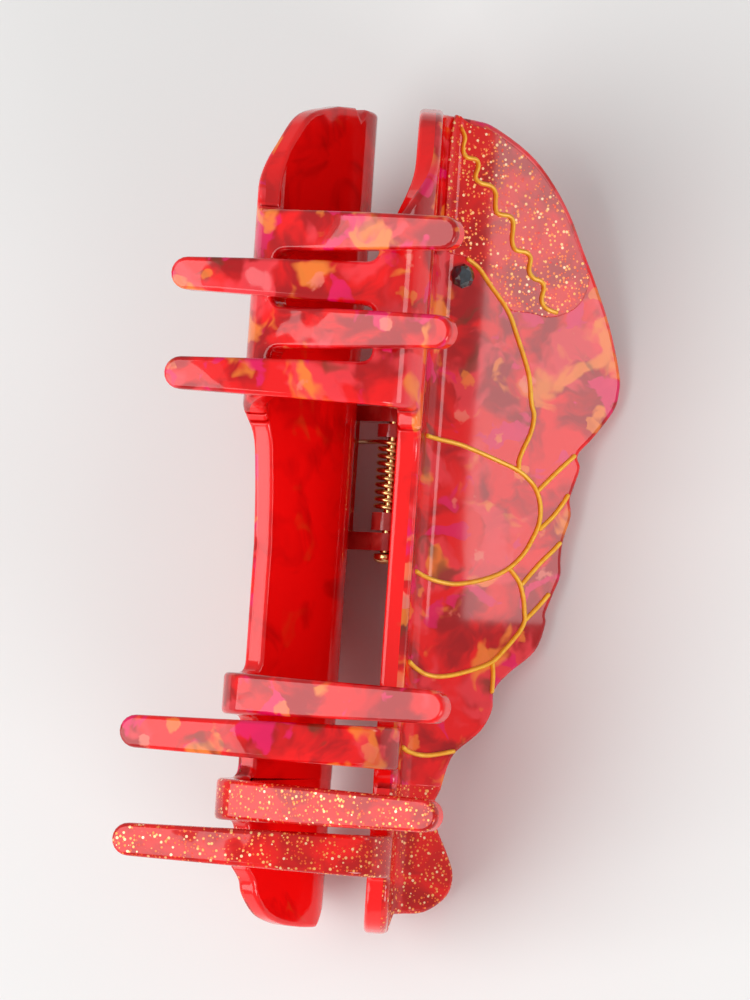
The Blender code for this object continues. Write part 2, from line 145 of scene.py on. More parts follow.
class NodeWeb:
    """The node tree of one material."""

    # Numbers of the Mix node's sockets for colours
    mix_share = 0
    mix_inks = (6, 7)
    mix_result = 2

    def __init__(self, name: str) -> None:
        """Start an empty material."""
        self.material = bpy.data.materials.new(name)
        self.material.use_nodes = True
        self.tree = self.material.node_tree
        self.tree.nodes.clear()

    def add(
        self, kind: str, settings: dict | None = None, sockets: dict | None = None,
    ) -> Wire | None:
        """Add any node.

        Args:
            kind: Blender's node type.
            settings: Attributes of the node, set first.
            sockets: Values or wires of its inputs, by name or number.

        Returns:
            The node's first output, if it has one.
        """
        node = self.tree.nodes.new(kind)
        for key, value in (settings or {}).items():
            setattr(node, key, value)
        for key, value in (sockets or {}).items():
            if isinstance(value, Wire):
                self.tree.links.new(value.socket, node.inputs[key])
            else:
                node.inputs[key].default_value = value
        return Wire(self, node) if node.outputs else None

    def mix(self, share: Any, first: Any, second: Any) -> Wire:
        """Blend two colours.

        Args:
            share: How much of the second colour shows.
            first: Colour or wire.
            second: Colour or wire.

        Returns:
            The blended colour.
        """
        sockets = {self.mix_share: share}
        for socket, ink in zip(self.mix_inks, (first, second)):
            sockets[socket] = ink if isinstance(ink, Wire) else (*ink, 1.0)
        return self.add("ShaderNodeMix", {"data_type": "RGBA"}, sockets)[self.mix_result]

    def places(self) -> Wire:
        """Places on the piece, in metres."""
        return self.add("ShaderNodeTexCoord")["Object"]

    def noise(
        self, size: float, detail: float, warp: float = 0.0, where: Wire | None = None,
    ) -> Wire:
        """Cloudy noise round one half, with clouds of a size in millimetres that warp bends."""
        sockets = {"Vector": where or self.places(), "Scale": 1 / (size * METRES), "Detail": detail}
        return self.add("ShaderNodeTexNoise", {}, {**sockets, "Distortion": warp})

    def chips(self, size: float, where: Wire) -> Wire:
        """Cell node of chopped sheet, with cells of a size in millimetres at the given places."""
        return self.add("ShaderNodeTexVoronoi", {}, {"Vector": where, "Scale": 1 / (size * METRES)})

    def bent_places(self, size: float, reach: float) -> Wire:
        """Places shifted about by noise, so that edges wander.

        Args:
            size: Size of the wander, in millimetres.
            reach: How far it shifts a place, in millimetres.

        Returns:
            The shifted places.
        """
        sockets = {"Vector": self.places(), "Scale": 1 / (size * METRES)}
        cloud = self.add("ShaderNodeTexNoise", {}, sockets)["Color"]
        centred = self.vectors("SUBTRACT", {0: cloud, 1: (0.5, 0.5, 0.5)})
        shift = self.vectors("SCALE", {0: centred, "Scale": 2 * reach * METRES})
        return self.vectors("ADD", {0: self.places(), 1: shift})

    def vectors(self, operation: str, sockets: dict) -> Wire:
        """Result of one Vector Math node, from Blender's name of the operation."""
        return self.add("ShaderNodeVectorMath", {"operation": operation}, sockets)

    def finish(
        self, ink: Wire, gloss: "Gloss", grain: Wire, relief: Wire | None = None,
        depth: float = 0.0, metallic: Any = 0.0,
    ) -> bpy.types.Material:
        """Close the web with a Principled shader.

        Args:
            ink: Colour of the face.
            gloss: Its polish.
            grain: What roughens it, from zero to one.
            relief: Relief from zero to one, if it has one.
            depth: Depth of the relief, in millimetres.
            metallic: How metallic it is.

        Returns:
            The finished material.
        """
        sockets = {
            "Base Color": ink, "Metallic": metallic, "IOR": gloss.ior,
            "Roughness": gloss.rough + grain * gloss.grain,
            "Coat Weight": gloss.coat, "Coat Roughness": gloss.coat_rough,
        }
        if relief is not None:
            waves = {"Height": relief, "Distance": depth * METRES}
            sockets["Normal"] = self.add("ShaderNodeBump", {}, waves)
        shader = self.add("ShaderNodeBsdfPrincipled", {}, sockets)
        self.add("ShaderNodeOutputMaterial", {}, {"Surface": shader})
        return self.material


@dataclass(frozen=True)
class Gloss:
    """Polish of a face, what its grain adds to it, and the clear coat on it."""

    rough: float
    grain: float
    coat: float = 0.15
    coat_rough: float = 0.03
    ior: float = 1.5


@dataclass(frozen=True)
class Cloud:
    """One layer of soft clouds in a sheet."""

    colour: Colour
    size: float
    edge: Flat
    share: float = 1.0
    detail: float = 3.0
    warp: float = 0.5

    def over(self, web: NodeWeb, ink: Wire | Colour, where: Wire | None = None) -> Wire:
        """The colour with the clouds laid over it, at the given places or the piece's own."""
        cover = web.noise(self.size, self.detail, self.warp, where).rise(*self.edge)
        return web.mix(cover * self.share, ink, self.colour)


@dataclass(frozen=True)
class Flakes:
    """One layer of flakes: cell size, share left out, reach in a cell and two colours."""

    cell: float
    left_out: float
    reach: float
    first: Colour
    second: Colour


@dataclass(frozen=True)
class Finish:
    """A finish with its name and the record's slot it belongs to."""

    name: str
    slot: str

    def material(self) -> bpy.types.Material:
        """The finish as a material, made once."""
        name = f"dressed_{self.name}"
        return bpy.data.materials.get(name) or self.mixed(NodeWeb(name))

    def mixed(self, web: NodeWeb) -> bpy.types.Material:
        """Mix the material in its node web."""
        raise NotImplementedError


@dataclass(frozen=True)
class MarbledAcetate(Finish):
    """Polished acetate with clouds of red, rose, magenta and amber, and pale chips."""

    name: str = "marbled_acetate"
    slot: str = "marbled_acetate"
    red: Colour = (0.86, 0.005, 0.006)
    amber: Colour = (0.92, 0.24, 0.03)
    wander: Flat = (4.0, 1.6)
    deep: Cloud = Cloud((0.40, 0.002, 0.004), 7.0, (0.40, 0.60), warp=0.6)
    rose: Cloud = Cloud((0.90, 0.05, 0.065), 8.5, (0.53, 0.61), 0.75)
    magenta: Cloud = Cloud((0.78, 0.006, 0.11), 5.5, (0.58, 0.63), 0.85)
    honey: Cloud = Cloud(amber, 7.5, (0.58, 0.65), 0.80)
    smoke: Cloud = Cloud((0.11, 0.035, 0.012), 9.5, (0.64, 0.71), 0.65)
    cloud_shift: tuple[float, float, float] = (1.0, 2.0, 3.0)
    chip_pale: Colour = (0.92, 0.24, 0.17)
    chip_size: float = 3.4
    chip_wander: Flat = (1.6, 1.1)
    chip_left_out: float = 0.76
    chip_edge: Flat = (0.26, 0.36)
    chip_tint: Flat = (0.3, 0.7)
    chip_share: float = 0.62
    gloss: Gloss = Gloss(0.035, 0.03)
    grain: NoiseShape = (1.2, 3.0)
    wave_size: float = 15.0
    wave_detail: float = 0.5
    wave_depth: float = 0.06

    def clouds(self, web: NodeWeb) -> Wire:
        """Colour of the soft clouds in the sheet."""
        where = web.bent_places(*self.wander)
        ink = self.deep.over(web, self.red, where)
        for cloud in (self.rose, self.magenta, self.honey, self.smoke):
            shift = tuple(cloud.size * part for part in self.cloud_shift)
            ink = cloud.over(web, ink, web.vectors("ADD", {0: where, 1: shift}))
        return ink

    def mixed(self, web: NodeWeb) -> bpy.types.Material:
        """Mix the material in its node web."""
        cells = web.chips(self.chip_size, web.bent_places(*self.chip_wander))
        tints = web.add("ShaderNodeSeparateColor", {}, {0: cells["Color"]})
        pale = (tints[0] > self.chip_left_out) * (1 - cells["Distance"].rise(*self.chip_edge))
        chip = web.mix(tints[1].rise(*self.chip_tint), self.chip_pale, self.amber)
        ink = web.mix(pale * self.chip_share, self.clouds(web), chip)
        waves = web.noise(self.wave_size, self.wave_detail)
        return web.finish(ink, self.gloss, web.noise(*self.grain), waves, self.wave_depth)


@dataclass(frozen=True)
class LiningAcetate(Finish):
    """Plain bright-red acetate of the inner layer, with marbling that shows through."""

    name: str = "lining_acetate"
    slot: str = "marbled_acetate"
    red: Colour = (0.92, 0.005, 0.005)
    deep: Cloud = Cloud((0.48, 0.002, 0.003), 8.0, (0.46, 0.70), 0.7, warp=0.8)
    amber: Cloud = Cloud((0.62, 0.09, 0.015), 6.0, (0.63, 0.74), 0.35, 2.0, 1.0)
    gloss: Gloss = Gloss(0.07, 0.05)
    grain: NoiseShape = (1.5, 3.0)
    waves: NoiseShape = (14.0, 1.0)
    wave_depth: float = 0.15

    def mixed(self, web: NodeWeb) -> bpy.types.Material:
        """Mix the material in its node web."""
        ink = self.amber.over(web, self.deep.over(web, self.red))
        grain, waves = web.noise(*self.grain), web.noise(*self.waves)
        return web.finish(ink, self.gloss, grain, waves, self.wave_depth)


@dataclass(frozen=True)
class GlitterAcetate(Finish):
    """Clear red acetate filled with gold, orange and cream flakes."""

    name: str = "glitter_acetate"
    slot: str = "glitter_acetate"
    red: Colour = (0.80, 0.008, 0.006)
    orange: Colour = (0.95, 0.20, 0.03)
    gold: Colour = (1.0, 0.50, 0.14)
    cream: Colour = (1.0, 0.78, 0.52)
    deep: Cloud = Cloud((0.46, 0.003, 0.003), 5.0, (0.38, 0.62))
    fine: Flakes = Flakes(0.42, 0.40, 0.30, red, orange)
    middling: Flakes = Flakes(0.60, 0.34, 0.27, orange, gold)
    coarse: Flakes = Flakes(0.80, 0.36, 0.23, gold, cream)
    flake_share: float = 0.9
    flake_metal: float = 0.5
    gloss: Gloss = Gloss(0.05, 0.25)
    wave_size: float = 12.0
    wave_detail: float = 0.5
    wave_depth: float = 0.05

    def mixed(self, web: NodeWeb) -> bpy.types.Material:
        """Mix the material in its node web."""
        ink = self.deep.over(web, self.red)
        where = web.places()
        shine = None
        for flakes in (self.fine, self.middling, self.coarse):
            cells = web.chips(flakes.cell, where)
            tints = web.add("ShaderNodeSeparateColor", {}, {0: cells["Color"]})
            lit = (tints[0] > flakes.left_out) * (cells["Distance"] < flakes.reach)
            tint = web.mix(tints[1], flakes.first, flakes.second)
            ink = web.mix(lit * self.flake_share, ink, tint)
            shine = lit if shine is None else shine.maths("MAXIMUM", shine, lit)
        waves = web.noise(self.wave_size, self.wave_detail)
        metal = shine * self.flake_metal
        return web.finish(ink, self.gloss, shine, waves, self.wave_depth, metal)


@dataclass(frozen=True)
class Mottled(Finish):
    """A finish of two colours, with a grain in its polish and perhaps a relief."""

    first: Colour
    second: Colour
    mottle: NoiseShape
    edge: Flat
    gloss: Gloss
    grain: NoiseShape
    metallic: float = 0.0
    relief: NoiseShape = ()
    depth: float = 0.0

    def mixed(self, web: NodeWeb) -> bpy.types.Material:
        """Mix the material in its node web."""
        ink = web.mix(web.noise(*self.mottle).rise(*self.edge), self.first, self.second)
        grain = web.noise(*self.grain)
        relief = web.noise(*self.relief) if self.relief else None
        return web.finish(ink, self.gloss, grain, relief, self.depth, self.metallic)


@dataclass(frozen=True)
class PaleFloor(Finish):
    """Pale table top."""

    name: str = "pale_floor"
    slot: str = ""
    pale: Colour = (0.80, 0.80, 0.79)
    shade: Colour = (0.76, 0.76, 0.755)
    mottle: NoiseShape = (60.0, 2.0)
    gloss: Gloss = Gloss(0.85, 0.0, 0.0)

    def mixed(self, web: NodeWeb) -> bpy.types.Material:
        """Mix the material in its node web."""
        cloud = web.noise(*self.mottle)
        return web.finish(web.mix(cloud, self.pale, self.shade), self.gloss, cloud)


# Raised gold line, gold-plated wire and pin, cut black stone, rosy acetate of the hinge blocks
GOLD_PAINT = Mottled(
    "gold_line", "gold_line", (1.0, 0.56, 0.03), (0.95, 0.42, 0.015), (0.8, 3.0), (0.35, 0.7),
    Gloss(0.26, 0.1, 0.4, 0.08), (0.35, 2.0), metallic=0.15, relief=(0.35, 2.0), depth=0.008,
)
GOLD_METAL = Mottled(
    "gold_metal", "gold_metal", (0.98, 0.66, 0.28), (0.62, 0.34, 0.14), (1.6, 4.0, 0.4),
    (0.48, 0.72), Gloss(0.12, 0.14, 0.0), (1.6, 4.0, 0.4),
    metallic=1.0, relief=(1.6, 4.0, 0.4), depth=0.02,
)
BLACK_STONE = Mottled(
    "black_stone", "black_stone", (0.006, 0.007, 0.010), (0.015, 0.030, 0.045), (1.0, 2.0),
    (0.4, 0.7), Gloss(0.04, 0.04, 1.0, 0.02, 1.7), (0.5, 2.0),
)
HINGE_ACETATE = Mottled(
    "hinge_acetate", "hinge_acetate", (0.48, 0.010, 0.010), (0.62, 0.05, 0.04), (4.0, 3.0, 0.5),
    (0.4, 0.65), Gloss(0.12, 0.08, 0.4, 0.05), (1.0, 3.0), relief=(3.0, 2.0), depth=0.05,
)


def smooth(points: Sequence[Flat], steps: int, closed: bool = False) -> list[Flat]:
    """Curve through all the given points.

    Args:
        points: Flat points.
        steps: Steps between each two of them.
        closed: Whether the curve comes back to its start.

    Returns:
        Points along the curve.
    """
    spots = [np.array(p, dtype=float) for p in points]
    count = len(spots)
    curve = []
    for i in range(count if closed else count - 1):
        b, c = spots[i], spots[(i + 1) % count]
        a = spots[i - 1] if closed or i else 2 * b - c
        d = spots[(i + 2) % count] if closed or i + 2 < count else 2 * c - b
        for t in np.arange(steps) / steps:
            spot = 2 * b + (c - a) * t + (2 * a - 5 * b + 4 * c - d) * t**2
            curve.append(0.5 * (spot + (3 * b - a - 3 * c + d) * t**3))
    if not closed:
        curve.append(spots[-1])
    return [tuple(p) for p in curve]


def round_corner(before: Flat, corner: Flat, after: Flat, size: float, steps: int) -> list[Flat]:
    """Rounding at a corner.

    Args:
        before: Point on the way in.
        corner: The corner.
        after: Point on the way out.
        size: How far from the corner the rounding starts.
        steps: Steps along it.

    Returns:
        Points along the rounding.
    """
    first, middle, last = (np.array(p, dtype=float) for p in (before, corner, after))
    start = middle + (first - middle) / np.linalg.norm(first - middle) * size
    end = middle + (last - middle) / np.linalg.norm(last - middle) * size
    shares = np.arange(steps + 1) / steps
    return [tuple((1 - t) ** 2 * start + 2 * t * (1 - t) * middle + t**2 * end) for t in shares]


def outward(loop: np.ndarray) -> np.ndarray:
    """Outward directions at the corners of a closed loop, long enough to keep its edges parallel.

    Args:
        loop: Corners in order, one per row.

    Returns:
        One direction per corner.
    """
    ahead = np.roll(loop, -1, axis=0) - loop
    area = np.sum(loop[:, 0] * np.roll(loop[:, 1], -1) - loop[:, 1] * np.roll(loop[:, 0], -1))
    ahead /= np.maximum(np.linalg.norm(ahead, axis=1), TINY)[:, None]
    edge = np.stack((ahead[:, 1], -ahead[:, 0]), axis=1) * math.copysign(1.0, area)
    total = edge + np.roll(edge, 1, axis=0)
    total /= np.maximum(np.linalg.norm(total, axis=1), TINY)[:, None]
    lean = np.clip(np.sum(total * edge, axis=1), LEAST_LEAN, 1.0)
    return total / lean[:, None]


@dataclass(frozen=True)
class SheetSection:
    """Section of a bent half: s runs up the jaw from zero at the waist, and down the handle."""

    thickness: float = 3.0
    waist_half_gap: float = 3.3
    waist_radius: float = 5.5
    jaw_lean: float = math.radians(20.0)
    jaw_run: float = 13.7
    bulge_radius: float = 4.5
    tooth_rise: float = math.radians(20.0)
    tooth_arch: float = math.radians(19.5)
    tooth_run: float = 29.0
    handle_flare: float = math.radians(50.0)
    handle_run: float = 30.0
    pin_drop: float = 6.5
    finest_turn: float = math.radians(5.0)

    def jaw_runs(self) -> tuple[tuple[float, float], ...]:
        """Lengths and turns of the stretches above the waist."""
        bulge_turn = self.jaw_lean + math.pi / 2 - self.tooth_rise
        return (
            (self.waist_radius * self.jaw_lean, self.jaw_lean), (self.jaw_run, 0.0),
            (self.bulge_radius * bulge_turn, -bulge_turn), (self.tooth_run, -self.tooth_arch),
        )

    def handle_runs(self) -> tuple[tuple[float, float], ...]:
        """Lengths and turns of the stretches below the waist."""
        return (self.waist_radius * self.handle_flare, -self.handle_flare), (self.handle_run, 0.0)

    @property
    def bend_end(self) -> float:
        """Place where the handle's flat stretch starts."""
        return -self.waist_radius * self.handle_flare

    @property
    def tip(self) -> float:
        """Place of the longest teeth's tips."""
        return sum(length for length, _ in self.jaw_runs())

    def middle(self, s: float) -> tuple[float, float, float]:
        """Middle of the sheet.

        Args:
            s: Place along the section.

        Returns:
            Its x, z and heading, where a heading of zero points up.
        """
        x, z, heading = self.waist_half_gap + self.thickness / 2, self.pin_drop, 0.0
        left, way = abs(s), math.copysign(1.0, s)
        for length, turn in self.jaw_runs() if s >= 0 else self.handle_runs():
            part = min(left, length)
            bend = turn * part / length
            if abs(bend) < TINY:
                x += way * part * math.sin(heading)
                z += way * part * math.cos(heading)
            else:
                radius = way * part / bend
                x += radius * (math.cos(heading) - math.cos(heading + bend))
                z += radius * (math.sin(heading + bend) - math.sin(heading))
                heading += bend
            left -= part
            if left <= TINY:
                break
        return x, z, heading

    def point(self, s: float, out: float, y: float, side: int) -> Vector:
        """Point of a bent half in the clip's frame, from places along, out of and across it."""
        x, z, heading = self.middle(s)
        return Vector((side * (x + out * math.cos(heading)), y, z - out * math.sin(heading)))

    def stations(self) -> list[float]:
        """Places where a flat mesh is divided so that it can bend."""
        cuts = []
        for way, runs in ((1, self.jaw_runs()), (-1, self.handle_runs())):
            start = 0.0
            for length, turn in runs:
                steps = max(1, math.ceil(abs(turn) / self.finest_turn))
                cuts += [way * (start + length * i / steps) for i in range(steps)]
                start += length
        return sorted(set(cuts))


@dataclass(frozen=True)
class ClipFrame:
    """The clip's own frame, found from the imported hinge."""

    joint_place: float = 6.0

    def matrix(self) -> Matrix:
        """Turn of the clip's frame into the row's, in metres."""
        hinge = frame["record"]["behaviour"]["joints"][0]
        along = -Vector(hinge["axis"]).normalized()
        across = Vector((1.0, 0.0, 0.0))
        axes = Matrix((across, along, across.cross(along))).transposed()
        origin = Vector(hinge["pos_m"]) - along * self.joint_place * METRES
        return Matrix.Translation(origin) @ axes.to_4x4()


SECTION = SheetSection()
TO_ROW = ClipFrame().matrix()


def in_row(point: Vector) -> Vector:
    """A point of the clip's frame, in metres in the row's frame."""
    return TO_ROW @ (point * METRES)


def add_piece(
    name: str, solid: Solid, finishes: Sequence[Finish], body: str | None,
) -> bpy.types.Object:
    """Link a closed mesh as a piece of the object.

    Args:
        name: Name of the piece.
        solid: Its mesh, in the row's frame, which is freed.
        finishes: Finishes in the order of the mesh's material numbers.
        body: Body that it rides on, or None to leave it on no body.

    Returns:
        The piece.
    """
    bmesh.ops.recalc_face_normals(solid, faces=solid.faces)
    mesh = bpy.data.meshes.new(name)
    solid.to_mesh(mesh)
    solid.free()
    for coat in finishes:
        mesh.materials.append(coat.material())
    piece = bpy.data.objects.new(name, mesh)
    bpy.context.collection.objects.link(piece)
    if body is not None:
        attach(piece, body)
    LOG.info("made %s with %d faces", name, len(mesh.polygons))
    return piece


def even_shading(piece: bpy.types.Object) -> None:
    """Shade a piece smoothly, with its large faces flat."""
    piece.data.shade_smooth()
    shading = piece.modifiers.new("even_shading", "WEIGHTED_NORMAL")
    shading.weight = FACE_WEIGHT


def bridge(solid: Solid, first: Sequence, second: Sequence, material: int = 0) -> None:
    """Join two rings of vertices with a band of faces.

    Args:
        solid: Mesh that gets the faces.
        first: One ring.
        second: The next ring, with as many vertices.
        material: Material number of the band.
    """
    count = len(first)
    for i in range(count):
        j = (i + 1) % count
        face = solid.faces.new((first[i], first[j], second[j], second[i]))
        face.material_index = material


def tube(rings: Sequence[Sequence[Vector]]) -> Solid:
    """Closed mesh through rings of points.

    Args:
        rings: Rings of the clip's frame, from end to end.

    Returns:
        The mesh, in the row's frame.
    """
    made = bmesh.new()
    loops = [[made.verts.new(in_row(spot)) for spot in ring] for ring in rings]
    for first, second in zip(loops, loops[1:]):
        bridge(made, first, second)
    made.faces.new(loops[0])
    made.faces.new(loops[-1])
    return made


@dataclass(frozen=True)
class BentPlate:
    """A plate with rounded edges, drawn flat and bent round the section."""

    outline: Points
    low: float
    high: float
    edge: float
    side: int
    lining_top: float | None = None
    tooth_start: float = math.inf
    edge_steps: int = 4

    def flat_mesh(self) -> Solid:
        """Flat mesh of the plate's face, inside its rounded edge."""
        loop = np.array(self.outline)
        inner = loop - outward(loop) * self.edge
        sheet = bmesh.new()
        sheet.faces.new([sheet.verts.new((s, y, 0.0)) for s, y in inner])
        for station in SECTION.stations():
            parts = sheet.verts[:] + sheet.edges[:] + sheet.faces[:]
            bmesh.ops.bisect_plane(
                sheet, geom=parts, plane_co=(station, 0, 0), plane_no=(1, 0, 0), dist=WELD,
            )
        return sheet

    @staticmethod
    def rim(sheet: Solid) -> list[bmesh.types.BMVert]:
        """Vertices round the edge of a flat mesh, in order."""
        edges = [edge for edge in sheet.edges if len(edge.link_faces) == 1]
        ring, last = [edges[0].verts[0]], edges[0]
        vert = edges[0].verts[1]
        while vert is not ring[0]:
            ring.append(vert)
            last = next(e for e in vert.link_edges if len(e.link_faces) == 1 and e is not last)
            vert = last.other_vert(vert)
        return ring

    def levels(self) -> list[tuple[float, float]]:
        """Outset and height of each ring of the edge, from the outer face to the inner one."""
        turns = [math.pi / 2 * i / self.edge_steps for i in range(self.edge_steps + 1)]
        top = [(self.edge * math.sin(t), self.high - self.edge * (1 - math.cos(t))) for t in turns]
        bottom = [(outset, self.low + self.high - height) for outset, height in reversed(top)]
        middle = [] if self.lining_top is None else [(self.edge, self.lining_top)]
        return top + middle + bottom

    def spot(self, s: float, height: float, y: float) -> Vector:
        """Point of the bent plate, in metres in the row's frame."""
        return in_row(SECTION.point(s, height, y, self.side))

    def solid(self) -> Solid:
        """Closed bent mesh: material one on the lining, material two on the backs of the teeth."""
        sheet = self.flat_mesh()
        ring = self.rim(sheet)
        loop = np.array([vert.co[:2] for vert in ring])
        away = outward(loop)
        made = bmesh.new()
        levels = self.levels()
        rings = []
        for outset, height in levels:
            places = loop + away * outset
            rings.append([made.verts.new(self.spot(s, height, y)) for s, y in places])
        for (upper, lower), (_, height) in zip(zip(rings, rings[1:]), levels):
            lining = self.lining_top is not None and height <= self.lining_top
            bridge(made, upper, lower, int(lining))
        for edge_ring, height, lining in ((rings[0], self.high, 0), (rings[-1], self.low, 1)):
            shared = dict(zip(ring, edge_ring))
            for vert in sheet.verts:
                if vert not in shared:
                    shared[vert] = made.verts.new(self.spot(vert.co.x, height, vert.co.y))
            for face in sheet.faces:
                bent = made.faces.new([shared[vert] for vert in face.verts])
                if self.lining_top is not None:
                    on_tooth = not lining and face.calc_center_median().x > self.tooth_start
                    bent.material_index = 2 if on_tooth else lining
        sheet.free()
        return made


@dataclass(frozen=True)
class LobsterOutline:
    """Flat outline of one half, in distances from the waist and places along the pin."""

    tooth_places: tuple[float, ...]
    # Reach beyond the waist's bend, and place along the pin
    handle: Points = (
        (-1.5, 52.4), (1.7, 52.2), (4.7, 51.5), (10.4, 48.0), (14.9, 42.6), (18.1, 36.4),
        (20.2, 32.1), (22.3, 27.2), (24.0, 21.5), (24.1, 18.7), (23.4, 16.4), (20.9, 12.9),
        (19.0, 10.6), (19.4, 8.9), (18.7, 6.3), (18.3, 4.7), (18.6, 2.6), (17.8, -0.4),
        (17.6, -2.9), (17.7, -5.1), (16.8, -7.7), (16.0, -10.1), (16.1, -11.5), (14.9, -15.0),
        (11.5, -18.1), (9.7, -20.4), (9.6, -22.9), (8.2, -25.7), (5.1, -28.5), (4.1, -30.4),
        (3.3, -33.5), (2.6, -35.4), (3.2, -38.3), (5.0, -41.9), (5.8, -44.4), (5.1, -47.0),
        (2.3, -49.1), (-0.9, -49.5), (-2.8, -49.6),
    )
    head_end: float = 52.4
    tail_end: float = -52.0
    notch_from_waist: float = 2.4
    notch_half_width: float = 1.0
    notch_depth: float = 1.2
    head_corner: Points = (
        (6.5, 52.2), (11.8, 50.6), (15.0, 47.0), (17.6, 43.0), (20.4, 39.0), (23.4, 33.5),
    )
    head_ease: Points = (
        (23.4, 14.2), (21.9, 13.6), (18.5, 12.4), (16.0, 9.8), (15.0, 4.0), (14.4, -4.0),
    )
    tail_corner: Points = (
        (14.4, -44.8), (12.9, -46.4), (12.2, -48.2), (9.8, -50.6), (6.5, -51.7), (3.0, -52.0),
    )
    flange_edge: float = 23.4
    mid_edge: float = 14.4
    tooth_root_width: float = 5.4
    tooth_tip_width: float = 4.1
    tooth_fillet: float = 1.6
    head_tooth_shorter_by: float = 2.5
    steps: int = 5

    def tooth(self, place: float, head_root: float, tail_root: float) -> list[Flat]:
        """One tooth.

        Args:
            place: Place of its middle along the pin.
            head_root: Distance from the waist that its head side starts at.
            tail_root: Distance from the waist that its tail side ends at.

        Returns:
            Points from its head side over its tip to its tail side.
        """
        tip = SECTION.tip - (self.head_tooth_shorter_by if place > 0 else 0.0)
        wide, narrow = self.tooth_root_width / 2, self.tooth_tip_width / 2
        reach = wide + 2 * self.tooth_fillet
        centre = tip - narrow
        end = [
            (centre + narrow * math.sin(turn), place + narrow * math.cos(turn))
            for turn in np.linspace(0.0, math.pi, 2 * self.steps + 1)
        ]
        head_side = ((head_root, place + reach), (head_root, place + wide), end[0])
        tail_side = (end[-1], (tail_root, place - wide), (tail_root, place - reach))
        head_fillet = round_corner(*head_side, self.tooth_fillet, self.steps)
        return head_fillet + end + round_corner(*tail_side, self.tooth_fillet, self.steps)

    def jaw(self) -> list[Flat]:
        """Free edge of the jaw and its teeth, from the head end to the tail end."""
        head = [place for place in self.tooth_places if place > 0]
        tail = [place for place in self.tooth_places if place < 0]
        clear = self.tooth_root_width / 2 + self.tooth_fillet
        head_end = [p for p in smooth(self.head_corner, self.steps) if p[1] > head[0] + clear]
        ease = [p for p in smooth(self.head_ease, self.steps) if p[1] < head[-1] - clear]
        tail_end = [p for p in smooth(self.tail_corner, self.steps) if p[1] < tail[-1] - clear]
        head_roots = (head_end[-1][0], self.flange_edge, ease[0][0])
        tail_roots = (self.mid_edge, self.mid_edge, tail_end[0][0])
        points = [(self.notch_from_waist + self.notch_half_width, self.head_end)] + head_end
        for teeth, roots, after in ((head, head_roots, ease), (tail, tail_roots, tail_end)):
            for place, head_root, tail_root in zip(teeth, roots, roots[1:]):
                points += self.tooth(place, head_root, tail_root)
            points += after
        return points

    def whole(self) -> list[Flat]:
        """Whole outline, down the jaw's edge and back up the handle's."""
        handle = smooth([on_handle(p) for p in self.handle], self.steps)
        notch = [
            (self.notch_from_waist - self.notch_half_width, self.head_end),
            (self.notch_from_waist, self.head_end - self.notch_depth),
        ]
        return self.jaw() + [(0.0, self.tail_end)] + handle[::-1] + notch

    def cut(self, seam: float, keep_head: bool) -> Points:
        """Part of the outline on one side of a straight seam across the half.

        Args:
            seam: Place of the seam along the pin.
            keep_head: Whether the head side is kept.

        Returns:
            The kept outline, closed along the seam.
        """
        points = self.whole()
        kept = []
        for first, second in zip(points, points[1:] + points[:1]):
            if (first[1] > seam) == keep_head:
                kept.append(first)
            if (first[1] > seam) != (second[1] > seam):
                share = (seam - first[1]) / (second[1] - first[1])
                kept.append((first[0] + share * (second[0] - first[0]), seam))
        return tuple(kept)


def on_handle(point: Flat) -> Flat:
    """Flat place of a point given by its reach beyond the waist bend."""
    return SECTION.bend_end - point[0], point[1]


@dataclass(frozen=True)
class GoldLine:
    """A raised line with a round back and round ends, laid along points of the handle."""

    points: Points
    base: float
    width: float = 0.62
    height: float = 0.5
    steps: int = 6
    round_steps: int = 8
    end_steps: int = 4
    end_clear: float = 1.05
    end_share: float = 0.08

    def path(self) -> tuple[np.ndarray, np.ndarray]:
        """Points along the line with their share of the full width."""
        curve = np.array(smooth([on_handle(p) for p in self.points], self.steps))
        along = np.concatenate(([0.0], np.cumsum(np.linalg.norm(np.diff(curve, axis=0), axis=1))))
        radius = self.width / 2
        caps = radius * (1 - np.cos(np.linspace(0, math.pi / 2, self.end_steps + 1)))
        clear = radius * self.end_clear
        inside = along[(along > clear) & (along < along[-1] - clear)]
        places = np.concatenate((caps, inside, along[-1] - caps[::-1]))
        spots = np.stack([np.interp(places, along, curve[:, k]) for k in (0, 1)], axis=1)
        to_end = np.minimum(places, along[-1] - places)
        share = np.sqrt(np.clip(1 - (1 - np.minimum(to_end / radius, 1)) ** 2, 0, 1))
        return spots, np.maximum(share, self.end_share)

    def solid(self, side: int) -> Solid:
        """Closed mesh of the line on one half."""
        spots, shares = self.path()
        ahead = np.gradient(spots, axis=0)
        ahead /= np.linalg.norm(ahead, axis=1)[:, None]
        across = np.stack((-ahead[:, 1], ahead[:, 0]), axis=1)
        turns = [math.pi * i / self.round_steps for i in range(self.round_steps + 1)]
        rings = []
        for spot, way, share in zip(spots, across, shares):
            ring = []
            for turn in turns:
                s, y = spot + way * math.cos(turn) * share * self.width / 2
                out = self.base + math.sin(turn) * share * self.height
                ring.append(SECTION.point(s, out, y, side))
            rings.append(ring)
        return tube(rings)


